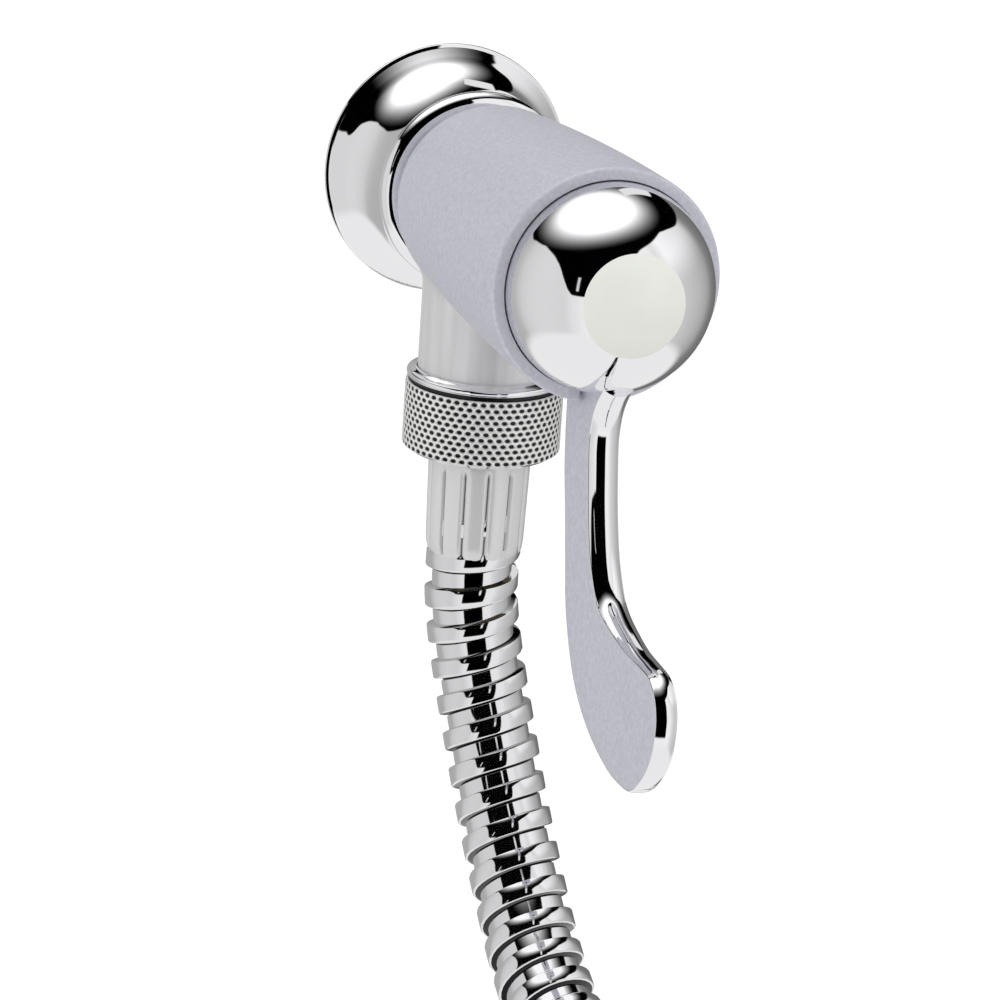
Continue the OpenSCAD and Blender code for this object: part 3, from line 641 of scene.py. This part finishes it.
def build_bell():
    """The flared bell with the bead at its root, open in front for the spray plate."""
    root, reach, rim, bead = 8.5, 25.5, 19.8, 15.3
    outside = [(12.05, root), (bead - 2.2, root)]
    outside += arc(bead - 1.75, root + 1.75, 1.75, -88, 62, 18)
    flare = [(bead - 1.05, root + 3.6), (bead - 1.2, root + 4.6), (bead - 1.0, root + 6.6),
             (bead - 0.6, root + 8.7), (bead - 0.02, root + 10.7), (bead + 0.75, root + 12.4),
             (bead + 1.7, root + 13.8), (bead + 2.85, root + 15.0), (bead + 3.95, root + 16.1)]
    outside += [tuple(spline(flare, t)) for t in np.linspace(0, len(flare) - 1, 64)]
    outside += arc(rim - 0.5, reach - 0.5, 0.5, -35, 90, 10)
    inside = [(rim - 1.2, reach - 0.05), (17.75, reach - 0.35), (17.72, reach - 0.6), (17.72, reach - 2.22),
              (16.3, reach - 2.25), (15.6, reach - 3.2), (14.9, reach - 4.3), (13.9, reach - 6.3),
              (13.0, reach - 8.1), (12.2, 16.0), (10.55, 15.5), (10.55, root + 1.2), (12.0, root + 1.2)]
    verts, faces = revolve(outside + inside, 160, closed=True)
    return make("bell", verts, faces, "head", polish, sharp=32)


bell = build_bell()
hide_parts("spray_bell")

# ---------------------------------------------------------------- lever

DOME_R, WALL, SKIRT = 15.1, 2.4, 5.6
BLADE_T, CROWN_R = 4.6, 2.7
# (y, z) along the blade's two edges, from the ball to the tip that they share
front_edge = [
    (-56.2, -12.9), (-54.4, -14.8), (-53, -17), (-52.15, -19.6), (-51.95, -22.3), (-52.5, -26),
    (-53.4, -30.7), (-55.1, -36.3), (-56.9, -39.7), (-59.2, -42.7), (-61.7, -44.2), (-65.4, -45.3),
    (-70.6, -46.3), (-75.6, -46.55), (-79.5, -47), (-82, -49), (-83, -51.2), (-83.2, -53), (-83, -55.2),
    (-82.2, -58), (-80.4, -60.9), (-78.2, -63.2), (-76.9, -64.4),
]
back_edge = [
    (-41.8, -10), (-41.8, -20), (-42.6, -27.7), (-44, -33.6), (-45, -38), (-46.2, -43.6), (-47.2, -47.5),
    (-48.8, -51.2), (-50.9, -54.8), (-53.6, -58), (-57.4, -60.9), (-62.1, -63.4), (-68, -65.3), (-72.7, -65.6),
    (-75.6, -65.2), (-76.9, -64.4),
]


def blade_half(y):
    """Half thickness of the blade, thinner towards the tip."""
    t = min(max((-y - 54) / 26, 0), 1)
    return BLADE_T / 2 - 0.7 * t * t * (3 - 2 * t)


def build_blade():
    """The flat lever: satin sides between a crowned polished front edge and a narrow polished back edge."""
    n = 120
    front = [spline(front_edge, (len(front_edge) - 1) * i / n) for i in range(n + 1)]
    rear = [spline(back_edge, (len(back_edge) - 1) * i / n) for i in range(n + 1)]
    rim = front + rear[-2::-1]
    outward = []
    for i in range(len(rim)):
        d = rim[min(i + 1, len(rim) - 1)] - rim[max(i - 1, 0)]
        d = d / np.linalg.norm(d)
        outward.append(np.array([d[1], -d[0]]))

    def edge(i, half, crown, soft):
        """Points over an edge from the +X side to the -X side: a bevel, a crown and a bevel."""
        top = half - soft
        r = CROWN_R
        pts = [(half, soft)]
        pts += [(half - soft * (1 - math.cos(a)), soft * (1 - math.sin(a))) for a in (0.5, 1.0)]
        for k in range(9):
            x = top * (1 - k / 4)
            rise = math.sqrt(r * r - x * x) - math.sqrt(r * r - top * top)
            pts.append((x, -crown * rise))
        pts += [(-x, inset) for x, inset in pts[2::-1]]
        return [(x, *(rim[i] - outward[i] * inset)) for x, inset in pts]

    across = 8
    verts, faces = [], []
    loop = 0
    for i in range(n + 1):
        last = len(rim) - 1 - i
        near = min(1.0, (n - i) / 8)
        fore = edge(i, blade_half(front[i][0]), near, 0.14)
        aft = edge(last, blade_half(rear[i][0]), 0.35 * near, 0.45)[::-1]
        ring = list(fore)
        for side, a, b in ((-1, fore[-1], aft[0]), (1, aft[-1], fore[0])):
            for k in range(1, across):
                t = k / across
                y, z = a[1] + (b[1] - a[1]) * t, a[2] + (b[2] - a[2]) * t
                ring.append((side * blade_half(y), y, z))
            if side < 0:
                ring += aft
        verts += ring
        loop = len(ring)
    for i in range(n):
        for k in range(loop):
            j = (k + 1) % loop
            faces.append((i * loop + k, i * loop + j, (i + 1) * loop + j, (i + 1) * loop + k))
    faces.append(tuple(range(loop)))
    return verts, faces


def build_lever():
    """The hollow ball and the blade that grows out of it."""
    outer = [(DOME_R * math.cos(math.radians(a)), DOME_R * math.sin(math.radians(a)))
             for a in np.linspace(-90, math.degrees(math.asin(SKIRT / DOME_R)), 80)]
    r_in = DOME_R - WALL
    inner = [(r_in * math.cos(math.radians(a)), r_in * math.sin(math.radians(a)))
             for a in np.linspace(math.degrees(math.asin(SKIRT / r_in)), -90, 24)]
    outer[0] = (0.0, -DOME_R)
    inner[-1] = (0.0, -r_in)
    verts, faces = revolve(outer + inner, 160, centre_y=HUB_Y)
    hub = make("lever_hub", verts, faces, "lever", polish, sharp=40)
    verts, faces = build_blade()
    blade = make("lever_blade", verts, faces, "lever", polish, sharp=20)
    blade.data.materials.append(satin)
    for poly in blade.data.polygons:
        if abs(poly.normal.x) > 0.985:
            poly.material_index = 1
    return hub


def build_end_disc():
    """The plain pale disc let into the pole of the dome, with a fine groove round it."""
    reach, proud = 28.5, 0.05
    middle = Vector((-0.075, -0.9957, 0.052))
    turn = Vector((0, -1, 0)).rotation_difference(middle)
    rise = [(a, proud) for a in np.linspace(0, reach, 40)] + [(reach + 0.35, 0.035), (reach + 0.5, -0.1)]
    line = [((DOME_R + lift) * math.sin(math.radians(a)), -(DOME_R + lift) * math.cos(math.radians(a)))
            for a, lift in rise]
    line[0] = (0.0, -(DOME_R + proud))
    verts, faces = revolve(line, 128)
    verts = [turn @ Vector(v) + Vector((0, HUB_Y, 0)) for v in verts]
    return make("end_disc", verts, faces, "lever", pearl, sharp=40)


hub = build_lever()
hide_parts("dome_lever")
build_end_disc()

# ---------------------------------------------------------------- return spring


def build_spring():
    """The round-wire spring behind the disc holder, with closed ends."""
    low, high = (p[1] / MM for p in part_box("return_spring"))
    radius, wire, turns, per, sides = 5.2, 0.55, 6, 32, 12
    y0, y1, steps = low + wire, high - wire, turns * per
    lead = 9 * per // 12
    path = []
    for i in range(steps + 1):
        t = min(max((i - lead) / (steps - 2 * lead), 0), 1)
        a = TAU * i / per
        start = y0 + wire * min(i, lead) * 2 / lead
        end = y1 - wire * (steps - max(i, steps - lead)) * 2 / lead
        path.append(Vector((radius * math.cos(a), start + (end - start) * t, radius * math.sin(a))))
    verts, faces = [], []
    for i, centre in enumerate(path):
        along = (path[min(i + 1, steps)] - path[max(i - 1, 0)]).normalized()
        out = Vector((centre.x, 0, centre.z)).normalized()
        out = (out - out.dot(along) * along).normalized()
        side = along.cross(out)
        verts += [centre + wire * (math.cos(TAU * k / sides) * out + math.sin(TAU * k / sides) * side)
                  for k in range(sides)]
    for i in range(steps):
        for k in range(sides):
            a, b = i * sides + k, i * sides + (k + 1) % sides
            faces.append((a, b, b + sides, a + sides))
    faces += [tuple(range(sides)), tuple(range(steps * sides, (steps + 1) * sides))]
    piece = make("coil_spring", verts, faces, "head", steel, sharp=60)
    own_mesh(piece)
    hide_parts("return_spring")


build_spring()

# ---------------------------------------------------------------- carried-over CAD pieces

finishes = {
    "bell_gasket": rubber, "spray_plate": plate_metal, "plate_screw": steel, "diffuser": brass, "valve_seat": brass,
    "valve_disc": rubber, "disc_holder": brass, "disc_nut": brass, "spindle": steel, "spindle_button": brass,
    "gland_bush": brass, "gland_seal": rubber, "spindle_seals": rubber, "pivot_bracket": brass,
    "bracket_screw": steel, "trunnion_screws": steel, "hose_washer": rubber, "inlet_filter": steel, "hose_tail": brass,
    "supply_tail": brass, "supply_washer": rubber,
}
for name, material in finishes.items():
    nodes[name].data.materials.clear()
    nodes[name].data.materials.append(material)

# ---------------------------------------------------------------- studio

FLOOR_Z = coil_centre[2] - COIL_HALF - STRAP_T
FLOOR_R, FLOOR_GLOW = 6.0, 0.3  # metres, and strength to the camera


def build_floor():
    """A pale round floor under the coil, which glows a little to the camera so that it meets the white backdrop."""
    bm = bmesh.new()
    bmesh.ops.create_circle(bm, cap_ends=True, radius=FLOOR_R, segments=64)
    bmesh.ops.translate(bm, verts=bm.verts, vec=(0, 0, FLOOR_Z * MM))
    mesh = bpy.data.meshes.new("floor")
    bm.to_mesh(mesh)
    bm.free()
    floor = bpy.data.objects.new("floor", mesh)
    scene.collection.objects.link(floor)
    m, n, l = new_material("pale_floor")
    out = n.new("ShaderNodeOutputMaterial")
    plain = n.new("ShaderNodeBsdfDiffuse")
    plain.inputs["Color"].default_value = (0.8, 0.8, 0.8, 1)
    white = n.new("ShaderNodeEmission")
    white.inputs["Color"].default_value = (1, 1, 1, 1)
    path = n.new("ShaderNodeLightPath")
    glow = n.new("ShaderNodeMath")
    glow.operation = "MULTIPLY"
    glow.inputs[1].default_value = FLOOR_GLOW
    l.new(path.outputs["Is Camera Ray"], glow.inputs[0])
    l.new(glow.outputs[0], white.inputs["Strength"])
    total = n.new("ShaderNodeAddShader")
    l.new(plain.outputs[0], total.inputs[0])
    l.new(white.outputs[0], total.inputs[1])
    l.new(total.outputs[0], out.inputs[0])
    mesh.materials.append(m)
    floor.visible_glossy = False


build_floor()

world = bpy.data.worlds.new("studio")
scene.world = world
world.use_nodes = True
wn, wl = world.node_tree.nodes, world.node_tree.links
wn.clear()


def world_node(kind, **values):
    """A new node of the world's shader."""
    made = wn.new(kind)
    for k, v in values.items():
        setattr(made, k, v)
    return made


def math_node(op, a, b=None, c=None, clamp=False):
    """The output of a Math node on numbers or sockets."""
    m = world_node("ShaderNodeMath", operation=op, use_clamp=clamp)
    for i, v in enumerate((a, b, c)):
        if v is None:
            continue
        if isinstance(v, (int, float)):
            m.inputs[i].default_value = v
        else:
            wl.new(v, m.inputs[i])
    return m.outputs[0]


def smooth(value, low, high):
    """A smooth step from 0 at low to 1 at high; low may be the greater of the two."""
    r = world_node("ShaderNodeMapRange", interpolation_type="SMOOTHSTEP", clamp=True)
    wl.new(value, r.inputs["Value"])
    r.inputs["From Min"].default_value = low
    r.inputs["From Max"].default_value = high
    return r.outputs[0]


coords = world_node("ShaderNodeTexCoord")
split = world_node("ShaderNodeSeparateXYZ")
wl.new(coords.outputs["Generated"], split.inputs[0])
dx, dy, dz = split.outputs


def degrees(value):
    return math_node("MULTIPLY", value, 180 / math.pi)


def lookup(points, low, high):
    """A smooth curve over the compass bearing, through (degrees, value) points."""
    curve = world_node("ShaderNodeFloatCurve")
    line = curve.mapping.curves[0]
    line.points[0].location = (0, (points[0][1] - low) / (high - low))
    line.points[1].location = (1, (points[-1][1] - low) / (high - low))
    for a, v in points[1:-1]:
        line.points.new((a + 180) / 360, (v - low) / (high - low))
    for p in line.points:
        p.handle_type = "AUTO_CLAMPED"
    curve.mapping.update()
    wl.new(bearing01, curve.inputs["Value"])
    return math_node("MULTIPLY_ADD", curve.outputs[0], high - low, low)


def window(value, low, high, soft):
    """1 between low and high, with edges `soft` wide to either side."""
    return math_node("MULTIPLY", smooth(value, low - soft, low + soft), smooth(value, high + soft, high - soft))


bearing = degrees(math_node("ARCTAN2", dx, dy))
bearing01 = math_node("MULTIPLY_ADD", bearing, 1 / 360, 0.5)
height = degrees(math_node("ARCSINE", dz))

# pale panels all round up to a wavy top edge, dark above them, and a round soft light overhead
top_edge = lookup([
    (-180, 41), (-166, 37), (-157, 32), (-151, 27), (-147.5, 18), (-145, 6), (-141, 1), (-124, 0), (-118, 3),
    (-113, 9), (-107, 16), (-101, 22), (-94, 26), (-84, 29), (-70, 29.5), (-60, 27), (-50, 24), (-40, 21),
    (-20, 21), (0, 22), (20, 18), (36, 18), (46, 21), (54, 25), (62, 29), (70, 33), (78, 38), (86, 43),
    (94, 47), (102, 50), (124, 51), (150, 50), (160, 47), (172, 43), (180, 41),
], -20, 80)
panel = lookup([
    (-180, 0.9), (-150, 0.9), (-122, 0.78), (-110, 0.7), (-90, 0.72), (-60, 0.66), (-36, 0.46), (0, 0.44),
    (20, 0.24), (34, 0.16), (52, 0.2), (70, 0.38), (84, 0.48), (100, 0.56), (118, 0.64), (136, 0.78),
    (150, 0.9), (180, 0.9),
], 0, 1)
# the panels are even and bright near the floor
LOW_LEVEL, SHINE = 0.86, 0.34
low_part = smooth(height, -36, -44)
panel = math_node("ADD", math_node("MULTIPLY", panel, math_node("SUBTRACT", 1.0, low_part)),
                  math_node("MULTIPLY", LOW_LEVEL, low_part))
above = smooth(math_node("SUBTRACT", height, top_edge), -0.8, 0.8)
shine = math_node("MULTIPLY", window(bearing, 62, 128, 10), smooth(height, 6, 36))
panel = math_node("MULTIPLY_ADD", shine, SHINE, panel)
level = math_node("MULTIPLY", panel, math_node("SUBTRACT", 1.0, above))
# a dark opening on the viewer's side
turned = degrees(math_node("ARCTAN2", math_node("MULTIPLY", dx, -1.0), math_node("MULTIPLY", dy, -1.0)))
opening = math_node("MULTIPLY", window(turned, -15.5, 39.5, 0.8), smooth(height, -32, -28))
level = math_node("MULTIPLY", level, math_node("SUBTRACT", 1.0, opening))
# two small lit gaps in the dark, a slanted one and a thin upright one
slant_across = math_node("MULTIPLY_ADD", height, 0.45, math_node("ADD", bearing, -14.4))
slant_along = math_node("MULTIPLY_ADD", bearing, -1.4, math_node("ADD", height, 42.0))
gap = math_node("MULTIPLY", window(slant_across, 26.5, 39, 0.8), window(slant_along, 17, 50, 1.0))
slit = math_node("MULTIPLY", window(bearing, -128.5, -125.5, 0.4), window(height, 5, 19, 0.6))
level = math_node("ADD", level, math_node("ADD", math_node("MULTIPLY", gap, 0.8), math_node("MULTIPLY", slit, 0.6)))
# the lamp is full within 29 degrees of its middle and gone at 49
LAMP_FULL, LAMP_EDGE, LAMP_LEVEL = 29, 49, 1.1
lamp_az, lamp_el = math.radians(-25), math.radians(72)
aim = [math.cos(lamp_el) * math.sin(lamp_az), math.cos(lamp_el) * math.cos(lamp_az), math.sin(lamp_el)]
cosine = math_node("MULTIPLY_ADD", dz, aim[2],
                   math_node("MULTIPLY_ADD", dy, aim[1], math_node("MULTIPLY", dx, aim[0])))
off_axis = degrees(math_node("ARCCOSINE", cosine))
lamp_soft = LAMP_EDGE - LAMP_FULL
lamp = math_node("POWER", math_node("MULTIPLY_ADD", off_axis, -1 / lamp_soft, LAMP_EDGE / lamp_soft, clamp=True), 2.0)
level = math_node("MAXIMUM", level, math_node("MULTIPLY", lamp, LAMP_LEVEL))
# only reflections see the studio; everything else gets plain level light
path = world_node("ShaderNodeLightPath")
glossy = path.outputs["Is Glossy Ray"]
background = world_node("ShaderNodeBackground")
wl.new(math_node("ADD", math_node("MULTIPLY", level, glossy), math_node("SUBTRACT", 1.0, glossy)),
       background.inputs["Strength"])
background.inputs["Color"].default_value = (1, 1, 1, 1)
world_out = world_node("ShaderNodeOutputWorld")
wl.new(background.outputs[0], world_out.inputs[0])
